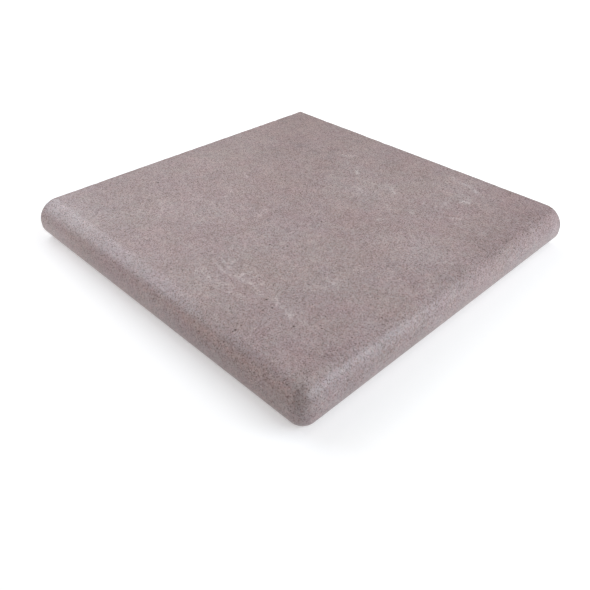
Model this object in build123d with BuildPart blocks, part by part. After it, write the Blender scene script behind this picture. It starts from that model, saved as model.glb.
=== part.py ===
"""Corner stair tread tile.

One square piece of fired stoneware. Two sides that meet at a corner carry a rounded nose, which
hangs below the tread as a lip. The other two sides are plain butt edges, where the straight treads
of the flight join on. The walking face is up, the two noses face +X and -Y, and the origin is on
the floor under the middle of the tile.
"""

import os

from build123d import *

# Driving dimensions, in millimetres and degrees
tread_side = 330.0  # plan size of the tread, over the noses
nose_height = 34.0  # walking face to the underside of the lip
body_thickness = 14.0  # tread behind the lip

nose_top_radius = 18.0  # round from the walking face to the front of the nose
nose_bottom_radius = 13.0  # round from the front of the nose to its underside
corner_radius = 12.5  # round where the two noses meet

lip_depth = 36.0  # front of the nose to the back of the lip, at its underside
lip_draft = 12.0  # lean of the lip's back, so that it leaves the press
lip_arris_radius = 3.0  # round at the foot of the lip's back
lip_root_radius = 6.0  # fillet between the lip's back and the underside of the tread
lip_turn_radius = 18.0  # plan radius of the lip's back as it turns the corner

butt_arris_radius = 0.8  # worn arris round the two butt edges

groove_pitch = 22.0  # keying grooves across the underside, for the adhesive
groove_width = 11.0
groove_depth = 2.0
groove_draft = 20.0  # lean of the grooves' sides
groove_margin = 9.0  # plain underside left between the grooves and the lip

# Sizes that follow from them
half_side = tread_side / 2
bed_height = nose_height - body_thickness  # underside of the tread
recess_edge = half_side - lip_depth  # where the recess behind the lip starts
recess_overrun = lip_depth  # how far the cutters run out past the butt edges
groove_edge = recess_edge - lip_root_radius - groove_margin
groove_length = groove_edge + half_side + recess_overrun
groove_count = int((groove_edge + half_side - groove_width) // groove_pitch) + 1

toward_corner = Axis((0, 0, 0), (1, -1, 0))
PLANE_TOLERANCE = 0.01


def along_lip(edges):
    """The edges that follow the lip, without those that lie in a butt edge."""
    return edges.filter_by(
        lambda edge: edge.bounding_box().max.X > PLANE_TOLERANCE - half_side
        and edge.bounding_box().min.Y < half_side - PLANE_TOLERANCE
    )


with BuildPart() as corner_tread_tile:
    # Square blank as high as the nose
    with BuildSketch():
        Rectangle(tread_side, tread_side)
    extrude(amount=nose_height)

    # Noses along the front and the right, then the round where they meet
    front = corner_tread_tile.faces().sort_by(Axis.Y)[0]
    right = corner_tread_tile.faces().sort_by(Axis.X)[-1]
    top_edges = [face.edges().sort_by(Axis.Z)[-1] for face in (front, right)]
    bottom_edges = [face.edges().sort_by(Axis.Z)[0] for face in (front, right)]
    fillet(top_edges, radius=nose_top_radius)
    fillet(bottom_edges, radius=nose_bottom_radius)
    mitre_edges = corner_tread_tile.edges().sort_by(toward_corner)[-3:]
    fillet(mitre_edges, radius=corner_radius)

    # Recess behind the lip, open at both butt edges
    with BuildSketch():
        with Locations((recess_edge, -recess_edge)):
            recess_side = recess_edge + half_side + recess_overrun
            Rectangle(recess_side, recess_side, align=(Align.MAX, Align.MIN))
        fillet(vertices().sort_by(toward_corner)[-1], radius=lip_turn_radius)
    extrude(amount=bed_height, taper=lip_draft, mode=Mode.SUBTRACT)
    lip_levels = along_lip(corner_tread_tile.edges(Select.LAST)).group_by(Axis.Z)
    fillet(lip_levels[-1], radius=lip_root_radius)
    fillet(lip_levels[0], radius=lip_arris_radius)

    # Worn arris round the butt edges on the left and at the back
    left = corner_tread_tile.faces().sort_by(Axis.X)[0]
    back = corner_tread_tile.faces().sort_by(Axis.Y)[-1]
    fillet(left.edges() + back.edges(), radius=butt_arris_radius)

    # Keying grooves, open at the back butt edge
    with BuildSketch(Plane.XY.offset(bed_height)):
        first_groove = groove_edge - groove_width / 2
        for number in range(groove_count):
            with Locations((first_groove - number * groove_pitch, -groove_edge)):
                Rectangle(groove_width, groove_length, align=(Align.CENTER, Align.MIN))
    extrude(amount=groove_depth, taper=groove_draft, mode=Mode.SUBTRACT)

corner_tread_tile.part.label = "corner_tread_tile"

os.makedirs("parts", exist_ok=True)
export_step(corner_tread_tile.part, "parts/corner_tread_tile.step")
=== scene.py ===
import math

import bpy
import numpy as np
from mathutils import Matrix, Vector


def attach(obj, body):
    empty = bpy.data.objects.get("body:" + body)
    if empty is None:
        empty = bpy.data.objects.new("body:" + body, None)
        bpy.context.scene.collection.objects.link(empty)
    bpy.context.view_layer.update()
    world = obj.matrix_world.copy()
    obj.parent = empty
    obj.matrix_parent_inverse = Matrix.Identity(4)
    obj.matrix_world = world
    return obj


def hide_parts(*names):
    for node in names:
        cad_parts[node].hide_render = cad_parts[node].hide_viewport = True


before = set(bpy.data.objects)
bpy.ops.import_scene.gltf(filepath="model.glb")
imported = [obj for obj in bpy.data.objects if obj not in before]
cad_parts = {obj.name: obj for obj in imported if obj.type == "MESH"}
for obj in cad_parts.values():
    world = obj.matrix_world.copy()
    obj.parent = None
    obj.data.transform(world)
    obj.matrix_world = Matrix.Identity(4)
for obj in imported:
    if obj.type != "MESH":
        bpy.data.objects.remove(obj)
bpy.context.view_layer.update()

MM = 0.001

# Sizes of the tile in millimetres, as in the part's source
SIDE = 330.0
HALF = SIDE / 2
NOSE_HEIGHT = 34.0
BODY = 14.0
TOP_RADIUS = 18.0
BOTTOM_RADIUS = 13.0
CORNER_RADIUS = 12.5
LIP_DEPTH = 36.0
LIP_DRAFT = math.radians(12.0)
LIP_ARRIS = 3.0
LIP_ROOT = 6.0
LIP_TURN = 18.0
BUTT_ARRIS = 0.8
GROOVE_PITCH = 22.0
GROOVE_WIDTH = 11.0
GROOVE_DEPTH = 2.0
GROOVE_DRAFT = math.radians(20.0)
GROOVE_MARGIN = 9.0
BED = NOSE_HEIGHT - BODY

# How finely the surface is divided
STATIONS = 250
ARRIS_STEPS = 4
FAN_STEPS = 12
TOP_ROWS = 15
BOTTOM_ROWS = 12
LIP_ARRIS_ROWS = 5
LIP_ROOT_ROWS = 6
LIP_ROWS = 1 + LIP_ARRIS_ROWS + LIP_ROOT_ROWS

# Fine relief in millimetres: waves from firing, which fade out toward the foot, and nicks in the butt arrises
WAVE_DEPTH = 0.32
WAVE_LENGTHS = np.linspace(28, 130, 14)
WAVE_FOOT = 2.0
WAVE_FADE = 8.0
NICKS_PER_EDGE = 46
NICK_REACH = 2.4
NICK_DEPTH = 0.5

# Pale scuffs on the walking face: a line of x, y points, its half width and its strength
SCUFFS = [
    ([(42, -110), (50, -109), (58, -108), (64, -111), (71, -112)], 1.7, 0.75),
    ([(55, -108), (60, -108)], 1.5, 1.0),
    ([(79, -106), (82, -109), (88, -111), (95, -111)], 1.7, 0.9),
    ([(97, -111), (103, -114)], 2.5, 1.1),
    ([(102, -110), (104, -116)], 1.5, 0.8),
    ([(107, -113), (119, -112)], 1.5, 0.5),
    ([(113, -110), (115, -111)], 1.4, 0.8),
    ([(11, -124), (14, -126)], 1.9, 1.0),
    ([(15, -123), (16, -120)], 1.6, 1.0),
    ([(18, -124), (26, -125), (32, -127)], 1.5, 0.9),
    ([(36, -123), (39, -124)], 1.6, 0.7),
    ([(41, -127), (44, -122)], 1.6, 0.9),
    ([(50, -121), (52, -127)], 1.6, 0.8),
    ([(57, -123), (63, -125)], 1.4, 0.6),
    ([(15, -104), (22, -103)], 1.4, 0.5),
    ([(24, -101), (27, -105)], 1.7, 1.0),
    ([(42, -107), (42, -101), (44, -96)], 1.6, 0.9),
    ([(17, -110), (25, -112), (32, -112), (40, -111)], 1.4, 0.5),
    ([(49, -103), (51, -97), (55, -96), (59, -98), (61, -103), (59, -107), (55, -109)], 1.1, 0.5),
    ([(-50, 110), (-45, 111)], 1.9, 1.3),
    ([(-44, 112), (-39, 116)], 2.2, 1.4),
    ([(-34, 100), (-30, 97)], 1.4, 1),
    ([(-15, 92), (-11, 88)], 1.9, 1.6),
    ([(11, 82), (19, 84)], 1.9, 0.65),
    ([(26, 87), (31, 90), (34, 86)], 1.7, 1.3),
    ([(33, 85), (40, 82)], 1.6, 0.91),
    ([(9, 66), (17, 61)], 2.6, 0.78),
    ([(59, 149), (65, 144)], 1.6, 1),
    ([(67, 144), (78, 145), (88, 140), (94, 137)], 2.1, 0.78),
    ([(91, 114), (97, 115)], 1.9, 1.7),
    ([(93, 119), (94, 124)], 1.1, 0.65),
    ([(82, 102), (85, 98)], 1.6, 0.65),
    ([(68, 89), (71, 85)], 1.4, 0.78),
    ([(101, 81), (109, 86)], 1.7, 0.91),
    ([(70, 67), (74, 63)], 1.9, 0.91),
    ([(45, 61), (56, 54)], 1.6, 0.78),
    ([(64, 39), (60, 33)], 1.7, 0.6),
    ([(53, 19), (59, 15)], 2.0, 0.5),
    ([(-84, 8), (-76, 4)], 1.5, 0.9),
    ([(-69, -22), (-61, -34)], 3.0, 0.5),
    ([(-20, -25), (-15, -35)], 2.7, 0.6),
    ([(16, -30), (27, -25)], 1.6, 0.5),
    ([(146, -18), (152, -19)], 1.6, 0.7),
    ([(-51, -72), (-42, -77)], 1.4, 0.7),
    ([(88, -79), (94, -71), (97, -61)], 3.6, 0.4),
    ([(-95, -83), (-83, -89), (-73, -100)], 1.9, 0.4),
    ([(-93, -104), (-91, -111)], 1.9, 0.4),
]
# Brownish ring stain on the walking face: x, y, radius, half width
STAINS = [(34.7, -95.8, 6.0, 2.4)]
# Broad pale patches: x, y, half width, half depth, strength
PATCHES = [
    (81, 124, 20, 22, 0.34), (107, 30, 12, 16, 0.38), (25, 74, 18, 12, 0.28), (94, -65, 9, 14, 0.24),
    (32, -106, 22, 12, 0.15), (-91, -91, 18, 14, 0.12),
]
# Pinholes that show: x, y, radius, all in millimetres
PINHOLES = [
    (76.8, -112.8, 0.8), (-126.4, -63.4, 1.0), (86.6, -150.3, 0.9), (111.3, -119.9, 0.7), (28.5, -4.5, 0.8),
    (36.4, -52.9, 0.8), (25.2, -61.5, 0.8), (86.7, -116.4, 0.7),
]
# Scattered pits: cells to the metre, share of them with a pit, least and greatest radius in metres, depth
SPARSE_PITS = [(95.0, 0.6, 0.0003, 0.0007, 1.0), (150.0, 0.8, 0.0003, 0.0006, 1.2)]
# The same without a depth, which thins out toward the rounded corner
DENSE_PITS = [(250.0, 0.7, 0.00025, 0.0005), (760.0, 0.7, 0.0002, 0.00044)]

# Sizes of the glaze's and the clay's patterns, in cells to the metre
CLOUDS = 20.0
TINTS = 14.0
FLECKS = 470.0
GRAIN = 1500.0
SPECKS = 590.0
BRUSH = 260.0
RAGGED = 160.0
FINE_BUMPS = 800.0
BROAD_BUMPS = 150.0
CLAY_CLOUDS = 25.0
CLAY_GRIT = 260.0
CLAY_BUMPS = 420.0

# Colours of the tile
GLAZE_WARM = (0.373, 0.270, 0.2715, 1)
GLAZE_COOL = (0.349, 0.2865, 0.2835, 1)
GLAZE_RUSTY = (0.392, 0.267, 0.258, 1)
SCUFF_GREY = (0.325, 0.288, 0.288, 1)
STAIN_BROWN = (0.30, 0.215, 0.205, 1)
PIT_DARK = (0.06, 0.028, 0.022, 1)
# Painted shade on the butt arrises, where their glaze also wears thin
ARRIS_DARK = (0.15, 0.095, 0.085, 1)
CLAY = (0.375, 0.275, 0.225, 1)
CLAY_ROUGHNESS = 0.85

# Studio, in metres: the floor lies a hair below the tile
FLOOR_REACH = 6.0
FLOOR_Z = -0.0002
FLOOR_PAINT = (0.8, 0.8, 0.8, 1)
WHITE = (1, 1, 1, 1)
WORLD_LIGHT = 0.2
SKY = (0.87, 0.935, 1.0)
PLAIN = (1.0, 0.96, 0.92)
WARM = (1.0, 0.72, 0.62)
LAMP_DISTANCE = 1.2
LAMP_SIZE = 0.5
# Soft lights: azimuth and elevation in degrees, watts, colour
LAMPS = [
    (0, 35, 3.01, SKY), (30, 15, 1.60, SKY), (30, 35, 3.23, SKY),
    (180, 35, 2.80, SKY), (210, 15, 1.47, SKY), (210, 35, 2.70, SKY),
    (60, 15, 0.69, PLAIN), (60, 60, 1.65, PLAIN), (120, 35, 0.66, PLAIN),
    (150, 35, 0.99, PLAIN), (180, 60, 1.13, PLAIN), (240, 15, 1.36, WARM),
]
PICTURE_WIDTH = 590.0
SENSOR_WIDTH = 36.0


def section():
    """The nose and lip in section, from the walking face round to the bed, as a list of rows.

    A row is (outer or inner, inset, height, normal angle, ball inset, ball height). Inset is measured
    from the front of the nose. The ball is the one that rounds the corner where the two noses meet.
    """
    rows = []
    for radius, middle, angles in (
        (TOP_RADIUS, NOSE_HEIGHT - TOP_RADIUS, np.linspace(90, 0, TOP_ROWS)),
        (BOTTOM_RADIUS, BOTTOM_RADIUS, np.linspace(0, -90, BOTTOM_ROWS)),
    ):
        spare = radius - CORNER_RADIUS
        for a in np.radians(angles):
            c, s = math.cos(a), math.sin(a)
            ball = (radius - spare * c, middle + spare * s)
            rows.append(("outer", radius * (1 - c), middle + radius * s, a) + ball)
    lean = math.pi / 2 - LIP_DRAFT
    half_turn = math.tan(lean / 2)
    foot = LIP_DEPTH - LIP_ARRIS * half_turn
    rows.append(("inner", (BOTTOM_RADIUS + foot) / 2, 0.0, -math.pi / 2, 0.0, 0.0))
    for a in np.linspace(0, lean, LIP_ARRIS_ROWS):
        inset, height = foot + LIP_ARRIS * math.sin(a), LIP_ARRIS * (1 - math.cos(a))
        rows.append(("inner", inset, height, -math.pi / 2 - a, 0.0, 0.0))
    root = LIP_DEPTH + BED * math.tan(LIP_DRAFT) + LIP_ROOT * half_turn
    for a in np.linspace(lean, 0, LIP_ROOT_ROWS):
        inset, height = root - LIP_ROOT * math.sin(a), BED - LIP_ROOT * (1 - math.cos(a))
        rows.append(("inner", inset, height, -math.pi / 2 - a, 0.0, 0.0))
    return rows


def stations():
    """Steps away from a butt edge: (inset, drop, share). Share is None over the worn arris."""
    steps = []
    for k in range(ARRIS_STEPS):
        a = math.radians(90.0 * k / ARRIS_STEPS)
        steps.append((BUTT_ARRIS * (1 - math.cos(a)), BUTT_ARRIS * (1 - math.sin(a)), None))
    for k in range(STATIONS + 1):
        steps.append((BUTT_ARRIS, 0.0, k / STATIONS))
    return steps


def reach(step, total):
    """How far a step lies from the butt edge, on a run of the total length."""
    inset, _, share = step
    return inset if share is None else BUTT_ARRIS + (total - BUTT_ARRIS) * share


class Shape:
    """Points with their outward normals, and faces with what they are made of."""

    GLAZED, FLAT_CLAY, ROUND_CLAY = range(3)

    def __init__(self):
        self.points = []
        self.normals = []
        self.faces = []
        self.kinds = []

    def add(self, point, normal):
        self.points.append(tuple(point))
        self.normals.append(tuple(normal))
        return len(self.points) - 1

    def face(self, ring, kind):
        ring = [v for k, v in enumerate(ring) if v not in ring[:k]]
        if len(ring) > 2:
            self.faces.append([int(v) for v in ring])
            self.kinds.append(kind)


def add_walking_face(shape, steps):
    """The flat top as a grid, with the worn arrises of the two butt edges."""
    flat = SIDE - TOP_RADIUS
    n = len(steps)
    grid = np.zeros((n, n), int)
    for i, a in enumerate(steps):
        for j, b in enumerate(steps):
            point = (reach(a, flat) - HALF, HALF - reach(b, flat), NOSE_HEIGHT - max(a[1], b[1]))
            grid[i, j] = shape.add(point, (0, 0, 1))
    for i in range(n - 1):
        for j in range(n - 1):
            shape.face([grid[i, j], grid[i, j + 1], grid[i + 1, j + 1], grid[i + 1, j]], Shape.GLAZED)
    return grid


def add_nose_and_lip(shape, steps, grid):
    """One strip along the front, round the corner and along the right side."""
    rows = section()
    n = len(steps)
    columns = 2 * n + FAN_STEPS - 1
    strip = np.zeros((len(rows), columns), int)
    strip[0, :n] = grid[:, n - 1]
    strip[0, n:n + FAN_STEPS - 1] = grid[n - 1, n - 1]
    strip[0, n + FAN_STEPS - 1:] = grid[n - 1, ::-1]
    turn_centre = HALF - LIP_DEPTH - LIP_TURN
    for r, (kind, inset, height, angle, ball_in, ball_z) in enumerate(rows):
        if r == 0:
            continue
        c, s = math.cos(angle), math.sin(angle)
        outer = kind == "outer"
        pole = outer and c < 1e-6
        end = SIDE - ball_in if outer else HALF + turn_centre
        wear = 1.0 if outer else min(1.0, (BED - height) / LIP_ROOT)
        for i, step in enumerate(steps):
            d = step[1] * wear
            point = (reach(step, end) - HALF, inset - HALF + d * c, height - d * s)
            strip[r, i] = shape.add(point, (0, -c, s))
        for f in range(1, FAN_STEPS):
            col = n - 1 + f
            b = math.radians(90.0 * f / FAN_STEPS)
            if pole:
                strip[r, col] = strip[r, n - 1]
            elif outer:
                normal = Vector((0, -c, s)).slerp(Vector((c, 0, s)), f / FAN_STEPS)
                ball = Vector((HALF - ball_in, ball_in - HALF, ball_z))
                strip[r, col] = shape.add(ball + CORNER_RADIUS * normal, normal)
            else:
                turn = LIP_TURN + LIP_DEPTH - inset
                point = (turn_centre + turn * math.sin(b), -turn_centre - turn * math.cos(b), height)
                strip[r, col] = shape.add(point, (c * math.sin(b), -c * math.cos(b), s))
        for i, step in enumerate(steps):
            col = columns - 1 - i
            if pole and i == n - 1:
                strip[r, col] = strip[r, n - 1]
                continue
            d = step[1] * wear
            point = (HALF - inset - d * c, HALF - reach(step, end), height - d * s)
            strip[r, col] = shape.add(point, (c, 0, s))
    for r in range(len(rows) - 1):
        clay = rows[r + 1][0] == "inner"
        for k in range(columns - 1):
            ring = [strip[r, k], strip[r + 1, k], strip[r + 1, k + 1], strip[r, k + 1]]
            shape.face(ring, Shape.ROUND_CLAY if clay else Shape.GLAZED)
    return strip


def add_bed_and_butt_edges(shape, grid, strip):
    """The grooved underside and the two plain sides."""
    down = (0, 0, -1)
    first = HALF - LIP_DEPTH - LIP_ROOT - GROOVE_MARGIN
    count = int((first + HALF - GROOVE_WIDTH) // GROOVE_PITCH) + 1
    narrow = GROOVE_DEPTH * math.tan(GROOVE_DRAFT)
    back_corner = shape.add((-HALF, HALF, BED), down)
    comb = []
    back_line = []
    for k in range(count):
        x1 = first - k * GROOVE_PITCH
        x0 = x1 - GROOVE_WIDTH
        roof = BED + GROOVE_DEPTH
        low = [shape.add(p, down) for p in (
            (x1, HALF, BED), (x1, -first, BED), (x0, -first, BED), (x0, HALF, BED))]
        high = [shape.add(p, down) for p in (
            (x1 - narrow, HALF, roof), (x1 - narrow, narrow - first, roof),
            (x0 + narrow, narrow - first, roof), (x0 + narrow, HALF, roof))]
        comb += low
        back_line += [low[0], high[0], high[3], low[3]]
        for a in range(3):
            shape.face([low[a], low[a + 1], high[a + 1], high[a]], Shape.FLAT_CLAY)
        shape.face(high, Shape.FLAT_CLAY)
    shape.face(list(strip[-1, ::-1]) + [back_corner] + comb[::-1], Shape.FLAT_CLAY)
    left_ring = list(grid[0, :]) + list(strip[1:, 0]) + [back_corner]
    shape.face(left_ring[::-1], Shape.FLAT_CLAY)
    shape.face(list(grid[:, 0]) + list(strip[1:, -1]) + back_line + [back_corner], Shape.FLAT_CLAY)


def fired_shape(points, normals, glazed):
    """Moves the points inward a little: gentle waves from firing, and small nicks in the butt arrises."""
    draw = np.random.default_rng(7)
    waves = np.zeros(len(points))
    for length in WAVE_LENGTHS:
        way = draw.normal(size=3) * (1, 1, 0.6)
        way *= 2 * math.pi / length / np.linalg.norm(way)
        waves += length * np.sin(points @ way + draw.uniform(0, 2 * math.pi))
    depth = WAVE_DEPTH / 2 * (1 + waves / np.abs(waves).max())
    moved = points - normals * (depth * glazed)[:, None]
    for axis, edge, run in ((0, -HALF, 1), (1, HALF, 0)):
        away = np.abs(points[:, axis] - edge)
        near = np.clip(1 - away / NICK_REACH, 0, 1) * (normals[:, 2] > 0.5) * glazed
        for _ in range(NICKS_PER_EDGE):
            place, width = draw.uniform(-HALF, HALF), draw.uniform(0.8, 2.6)
            nick = draw.uniform(0.1, 0.75) ** 2 * NICK_DEPTH
            moved[:, 2] -= near * nick * np.exp(-((points[:, run] - place) / width) ** 2)
    return moved


def scuffing(points):
    """How pale the scuffs and patches make each point of the walking face."""
    plan = points[:, :2]
    pale = np.zeros(len(plan))
    for line, width, strength in SCUFFS:
        gap = np.full(len(plan), np.inf)
        for start, end in zip(np.array(line, float), np.array(line[1:], float)):
            way = end - start
            share = np.clip((plan - start) @ way / (way @ way), 0, 1)
            gap = np.minimum(gap, np.linalg.norm(plan - start - share[:, None] * way, axis=1))
        pale = np.maximum(pale, strength * np.exp(-(gap / width) ** 2))
    for x, y, across, deep, strength in PATCHES:
        pale += strength * np.exp(-((plan[:, 0] - x) / across) ** 2 - ((plan[:, 1] - y) / deep) ** 2)
    return pale


def staining(points):
    """How brown the stains make each point of the walking face."""
    brown = np.zeros(len(points))
    for x, y, radius, width in STAINS:
        out = np.hypot(points[:, 0] - x, points[:, 1] - y)
        brown = np.maximum(brown, np.exp(-((out - radius) / width) ** 2))
    return brown


def build_tile():
    """The whole tile as one closed mesh, with its scuffs and stains as attributes."""
    shape = Shape()
    steps = stations()
    grid = add_walking_face(shape, steps)
    strip = add_nose_and_lip(shape, steps, grid)
    add_bed_and_butt_edges(shape, grid, strip)
    points = np.array(shape.points, float)
    normals = np.array(shape.normals, float)
    glazed = np.clip((points[:, 2] - WAVE_FOOT) / WAVE_FADE, 0, 1) * (normals[:, 2] > -0.95)
    glazed[strip[-LIP_ROWS:].ravel()] = 0
    points = fired_shape(points, normals, glazed)
    facing_up = normals[:, 2] > 0.9
    mesh = bpy.data.meshes.new("corner_tread_tile_fired")
    mesh.from_pydata([tuple(p) for p in points * MM], [], shape.faces)
    for polygon, kind in zip(mesh.polygons, shape.kinds):
        polygon.use_smooth = kind != Shape.FLAT_CLAY
        polygon.material_index = 0 if kind == Shape.GLAZED else 1
    for name, amount in (("pale", scuffing(points)), ("stain", staining(points))):
        values = (amount * facing_up).astype(np.float32)
        mesh.attributes.new(name, "FLOAT", "POINT").data.foreach_set("value", values)
    mesh.update()
    tile = bpy.data.objects.new("corner_tread_tile_fired", mesh)
    bpy.context.scene.collection.objects.link(tile)
    return tile


class Nodes:
    """Short hand for building a material's node tree."""

    def __init__(self, name):
        self.material = bpy.data.materials.new(name)
        self.material.use_nodes = True
        self.tree = self.material.node_tree
        self.tree.nodes.clear()

    def set(self, socket, value):
        if isinstance(value, bpy.types.NodeSocket):
            self.tree.links.new(value, socket)
        else:
            socket.default_value = value

    def put(self, kind, values=None, **settings):
        node = self.tree.nodes.new(kind)
        for key, value in settings.items():
            setattr(node, key, value)
        for key, value in (values or {}).items():
            self.set(node.inputs[key], value)
        return node

    def math(self, operation, a, b=0.0):
        return self.put("ShaderNodeMath", {0: a, 1: b}, operation=operation).outputs[0]

    def noise(self, where, scale, detail=0.0, rough=0.5):
        values = {"Vector": where, "Scale": scale, "Detail": detail, "Roughness": rough}
        return self.put("ShaderNodeTexNoise", values).outputs["Fac"]

    def cells(self, where, scale, out):
        return self.put("ShaderNodeTexVoronoi", {"Vector": where, "Scale": scale}).outputs[out]

    def dots(self, where, scale, share, small, large):
        """Soft round dots of varied radius in metres, one in each of a share of the cells."""
        cell = self.put("ShaderNodeTexVoronoi", {"Vector": where, "Scale": scale}).outputs
        pick = self.put("ShaderNodeSeparateColor", {0: cell["Color"]}).outputs[0]
        radius = self.span(pick, 1 - share, 1.0, small * scale, large * scale, "LINEAR")
        soft = 0.4 * small * scale
        dot = self.span(self.math("SUBTRACT", cell["Distance"], radius), -soft, soft, 1.0, 0.0)
        return self.math("MULTIPLY", dot, self.math("GREATER_THAN", pick, 1 - share))

    def span(self, value, low, high, to_low=0.0, to_high=1.0, how="SMOOTHSTEP"):
        values = {"Value": value, "From Min": low, "From Max": high, "To Min": to_low, "To Max": to_high}
        return self.put("ShaderNodeMapRange", values, interpolation_type=how).outputs["Result"]

    def mix(self, share, a, b, blend="MIX"):
        node = self.put("ShaderNodeMix", data_type="RGBA", blend_type=blend)
        self.set(node.inputs[0], share)
        self.set(node.inputs[6], a)
        self.set(node.inputs[7], b)
        return node.outputs[2]

    def grey(self, value):
        return self.put("ShaderNodeCombineColor", {0: value, 1: value, 2: value}).outputs[0]

    def finish(self, colour, rough, heights):
        """Principled shader with one bump after another: (height, strength, distance)."""
        shader = self.put("ShaderNodeBsdfPrincipled", {"Base Color": colour, "Roughness": rough})
        normal = None
        for height, strength, distance in heights:
            values = {"Height": height, "Strength": strength, "Distance": distance}
            bump = self.put("ShaderNodeBump", values)
            if normal is not None:
                self.set(bump.inputs["Normal"], normal)
            normal = bump.outputs[0]
        self.set(shader.inputs["Normal"], normal)
        out = self.put("ShaderNodeOutputMaterial")
        self.set(out.inputs[0], shader.outputs[0])
        return self.material


def clay_colour(n, where, grit):
    """Colour of the bare fired body."""
    mottle = n.noise(where, CLAY_CLOUDS, 7.0, 0.9)
    tone = n.span(mottle, 0.25, 0.75, 0.72, 1.28, "LINEAR")
    tone = n.math("MULTIPLY", tone, n.span(grit, 0.1, 0.35, 0.82, 1.0))
    return n.mix(1.0, CLAY, n.grey(tone), "MULTIPLY")


def glaze_tone(n, where, force, pale):
    """How light the glaze is: clouds, a grain of tiny cells, some of them dark, pale specks and scuffs."""
    mottle = n.noise(where, CLOUDS, 5.0, 1.0)
    tone = n.span(mottle, 0.25, 0.75, 0.825, 1.25, "LINEAR")
    grain = n.put("ShaderNodeSeparateColor", {0: n.cells(where, GRAIN, "Color")}).outputs[0]
    swing = n.math("MULTIPLY", n.math("SUBTRACT", 0.25, n.math("POWER", grain, 3.0)), force)
    tone = n.math("MULTIPLY", tone, n.math("ADD", 0.98, swing))
    specks = n.dots(where, SPECKS, 0.6, 0.0003, 0.0006)
    tone = n.math("MULTIPLY", tone, n.math("ADD", n.math("MULTIPLY", specks, 0.28), 1.0))
    return n.math("MULTIPLY", tone, n.math("ADD", pale, 1.0))


def glaze_colour(n, where, tone, fleck, pale):
    """Colour of the sound glaze, which turns a little greyer where it is lighter."""
    tint = n.noise(where, TINTS, 7.0, 0.95)
    aside = n.put("ShaderNodeVectorMath", {0: where, 1: (3.0, 1.0, 2.0)}, operation="ADD").outputs[0]
    blue = n.noise(aside, TINTS, 5.0, 0.95)
    stain = n.put("ShaderNodeAttribute", attribute_name="stain").outputs["Fac"]
    ground = n.mix(n.span(tint, 0.35, 0.65), GLAZE_WARM, GLAZE_COOL)
    ground = n.mix(n.span(fleck, 0.5, 0.7, 0.0, 0.58), ground, GLAZE_RUSTY)
    ground = n.mix(pale, ground, SCUFF_GREY)
    ground = n.mix(n.math("MULTIPLY", stain, 0.45), ground, STAIN_BROWN)
    red = n.math("ADD", n.math("MULTIPLY", tone, 0.88), 0.123)
    cool = n.math("MULTIPLY", tone, n.span(blue, 0.35, 0.65, 0.966, 1.02))
    shade = n.put("ShaderNodeCombineColor", {0: red, 1: tone, 2: cool}).outputs[0]
    return n.mix(1.0, ground, shade, "MULTIPLY")


def glaze_pits(n, where, force):
    """Depth of the pits: a sparse and a dense scatter, and the pinholes that show."""
    thinning = n.math("POWER", force, 3.0)
    pits = 0.0
    for scale, share, small, large, depth in SPARSE_PITS + [row + (thinning,) for row in DENSE_PITS]:
        dots = n.dots(where, scale, share, small, large)
        pits = n.math("MAXIMUM", pits, n.math("MULTIPLY", dots, depth))
    for x, y, radius in PINHOLES:
        centre = (x * MM, y * MM, NOSE_HEIGHT * MM)
        away = n.put("ShaderNodeVectorMath", {0: where, 1: centre}, operation="DISTANCE").outputs["Value"]
        hole = n.span(away, 0.85 * radius * MM, 1.2 * radius * MM, 1.25, 0.0)
        pits = n.math("MAXIMUM", pits, hole)
    return pits


def glaze_material():
    n = Nodes("satin_stone_glaze")
    where = n.put("ShaderNodeTexCoord").outputs["Object"]
    axes = n.put("ShaderNodeSeparateXYZ", {0: where}).outputs
    # Grain and dense pits are weaker toward the rounded corner
    force = n.span(n.math("SUBTRACT", axes[0], axes[1]), -0.1, 0.3, 1.0, 0.72, "LINEAR")
    # Scuffs, broken up by a noise
    pale = n.put("ShaderNodeAttribute", attribute_name="pale").outputs["Fac"]
    pale = n.math("MULTIPLY", pale, n.span(n.noise(where, BRUSH, 3.0, 0.7), 0.36, 0.62, 0.10, 0.50))
    fleck = n.noise(where, FLECKS, 1.0, 0.5)
    colour = glaze_colour(n, where, glaze_tone(n, where, force, pale), fleck, pale)
    pits = glaze_pits(n, where, force)
    colour = n.mix(n.math("MULTIPLY", pits, 0.8), colour, PIT_DARK)
    # The glaze runs out at the foot of the nose. Along the butt arrises a dark line is painted shade, where
    # the glaze also wears thin and turns rougher
    ragged = n.noise(where, RAGGED, 3.0, 0.6)
    low = n.math("SUBTRACT", axes[2], n.math("MULTIPLY", ragged, 0.004))
    foot = n.span(low, -0.0006, 0.0006, 1.0, 0.0)
    left = n.math("ADD", axes[0], HALF * MM)
    back = n.math("SUBTRACT", HALF * MM, axes[1])
    edge = n.math("SUBTRACT", n.math("MINIMUM", left, back), n.math("MULTIPLY", ragged, 0.0016))
    arris_shade_and_wear = n.span(edge, -0.0002, 0.0008, 0.8, 0.0)
    colour = n.mix(foot, colour, clay_colour(n, where, n.cells(where, CLAY_GRIT, "Distance")))
    colour = n.mix(arris_shade_and_wear, colour, ARRIS_DARK)
    rough = n.span(fleck, 0.3, 0.7, 0.28, 0.36, "LINEAR")
    rough = n.math("ADD", rough, n.math("MULTIPLY", n.math("MAXIMUM", foot, arris_shade_and_wear), 0.35))
    fine = n.math("SUBTRACT", n.noise(where, FINE_BUMPS, 2.0, 0.7), n.math("MULTIPLY", pits, 1.2))
    broad = n.noise(where, BROAD_BUMPS, 2.0, 0.6)
    return n.finish(colour, rough, [(fine, 0.2, 0.0004), (broad, 0.03, 0.001)])


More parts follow.
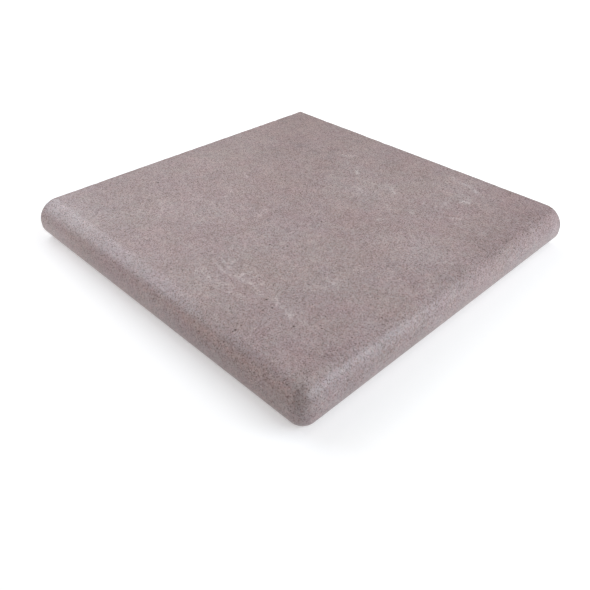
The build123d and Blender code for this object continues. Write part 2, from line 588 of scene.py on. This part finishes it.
def clay_material():
    n = Nodes("bare_fired_clay")
    where = n.put("ShaderNodeTexCoord").outputs["Object"]
    grit = n.cells(where, CLAY_GRIT, "Distance")
    height = n.math("ADD", n.noise(where, CLAY_BUMPS, 4.0, 0.7), n.span(grit, 0.1, 0.35, -0.4, 0.0))
    return n.finish(clay_colour(n, where, grit), CLAY_ROUGHNESS, [(height, 0.5, 0.0006)])


tile = build_tile()
tile.data.materials.append(glaze_material())
tile.data.materials.append(clay_material())
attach(tile, "root")
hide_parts("corner_tread_tile")


def white_stage():
    """A floor that takes the tile's shadow and glows to white farther out."""
    mesh = bpy.data.meshes.new("floor")
    corners = [(x * FLOOR_REACH, y * FLOOR_REACH, FLOOR_Z) for x, y in ((-1, -1), (1, -1), (1, 1), (-1, 1))]
    mesh.from_pydata(corners, [], [(0, 1, 2, 3)])
    floor = bpy.data.objects.new("floor", mesh)
    bpy.context.scene.collection.objects.link(floor)
    n = Nodes("white_floor")
    path = n.put("ShaderNodeLightPath")
    seen = n.math("MAXIMUM", path.outputs["Is Camera Ray"], path.outputs["Is Glossy Ray"])
    seen = n.math("MAXIMUM", seen, path.outputs["Is Transmission Ray"])
    paint = n.put("ShaderNodeBsdfDiffuse", {"Color": FLOOR_PAINT})
    where = n.put("ShaderNodeTexCoord").outputs["Object"]
    out_from_middle = n.put("ShaderNodeVectorMath", {0: where}, operation="LENGTH").outputs["Value"]
    far = n.span(out_from_middle, 0.3, 1.1, 0.4, 1.0)
    glow = n.put("ShaderNodeEmission", {"Color": WHITE, "Strength": n.math("MULTIPLY", seen, far)})
    both = n.put("ShaderNodeAddShader", {0: paint.outputs[0], 1: glow.outputs[0]})
    out = n.put("ShaderNodeOutputMaterial")
    n.set(out.inputs[0], both.outputs[0])
    mesh.materials.append(n.material)


def white_world():
    """White where the camera looks past the floor, and a low even light elsewhere."""
    world = bpy.data.worlds.new("studio")
    bpy.context.scene.world = world
    world.use_nodes = True
    tree = world.node_tree
    tree.nodes.clear()
    path = tree.nodes.new("ShaderNodeLightPath")
    lit = tree.nodes.new("ShaderNodeBackground")
    lit.inputs["Color"].default_value = WHITE
    lit.inputs["Strength"].default_value = WORLD_LIGHT
    seen = tree.nodes.new("ShaderNodeBackground")
    seen.inputs["Color"].default_value = WHITE
    seen.inputs["Strength"].default_value = 1.0
    mix = tree.nodes.new("ShaderNodeMixShader")
    out = tree.nodes.new("ShaderNodeOutputWorld")
    tree.links.new(path.outputs["Is Camera Ray"], mix.inputs[0])
    tree.links.new(lit.outputs[0], mix.inputs[1])
    tree.links.new(seen.outputs[0], mix.inputs[2])
    tree.links.new(mix.outputs[0], out.inputs[0])


def softbox(name, azimuth, elevation, watts, colour):
    """A soft light that faces the tile from a direction, azimuth 0 along +X and 90 along +Y."""
    light = bpy.data.lights.new(name, "AREA")
    light.shape = "RECTANGLE"
    light.size = light.size_y = LAMP_SIZE
    light.energy = watts
    light.color = colour
    lamp = bpy.data.objects.new(name, light)
    a, e = math.radians(azimuth), math.radians(elevation)
    way = Vector((math.cos(a) * math.cos(e), math.sin(a) * math.cos(e), math.sin(e)))
    lamp.location = way * LAMP_DISTANCE
    lamp.rotation_euler = way.to_track_quat("Z", "Y").to_euler()
    bpy.context.scene.collection.objects.link(lamp)


white_stage()
white_world()
for azimuth, elevation, watts, colour in LAMPS:
    softbox("softbox_%d_%d" % (azimuth, elevation), azimuth, elevation, watts, colour)


def aim_camera(focal_px, azimuth, elevation, roll, distance, shift_right, shift_up, top_height):
    """A camera from a fit to the photo, where lengths are in mm and the walking face was at top_height."""
    a, e, t = (math.radians(v) for v in (azimuth, elevation, roll))
    back = Vector((math.sin(a) * math.cos(e), -math.cos(a) * math.cos(e), math.sin(e)))
    right = Vector((math.cos(a), math.sin(a), 0.0))
    up = back.cross(right)
    across = math.cos(t) * right + math.sin(t) * up
    upward = -math.sin(t) * right + math.cos(t) * up
    eye = back * distance + across * shift_right + upward * shift_up
    eye.z += NOSE_HEIGHT - top_height
    data = bpy.data.cameras.new("camera")
    data.sensor_width = SENSOR_WIDTH
    data.lens = SENSOR_WIDTH * focal_px / PICTURE_WIDTH
    data.clip_start = 0.01
    camera = bpy.data.objects.new("camera", data)
    turn = Matrix((across, upward, back)).transposed().to_4x4()
    camera.matrix_world = Matrix.Translation(eye * MM) @ turn
    bpy.context.scene.collection.objects.link(camera)
    bpy.context.scene.camera = camera


aim_camera(
    focal_px=622.58, azimuth=44.57, elevation=36.912, roll=1.011,
    distance=573.0, shift_right=-5.118, shift_up=-45.06, top_height=40.0,
)
bpy.context.scene.view_settings.view_transform = "Standard"
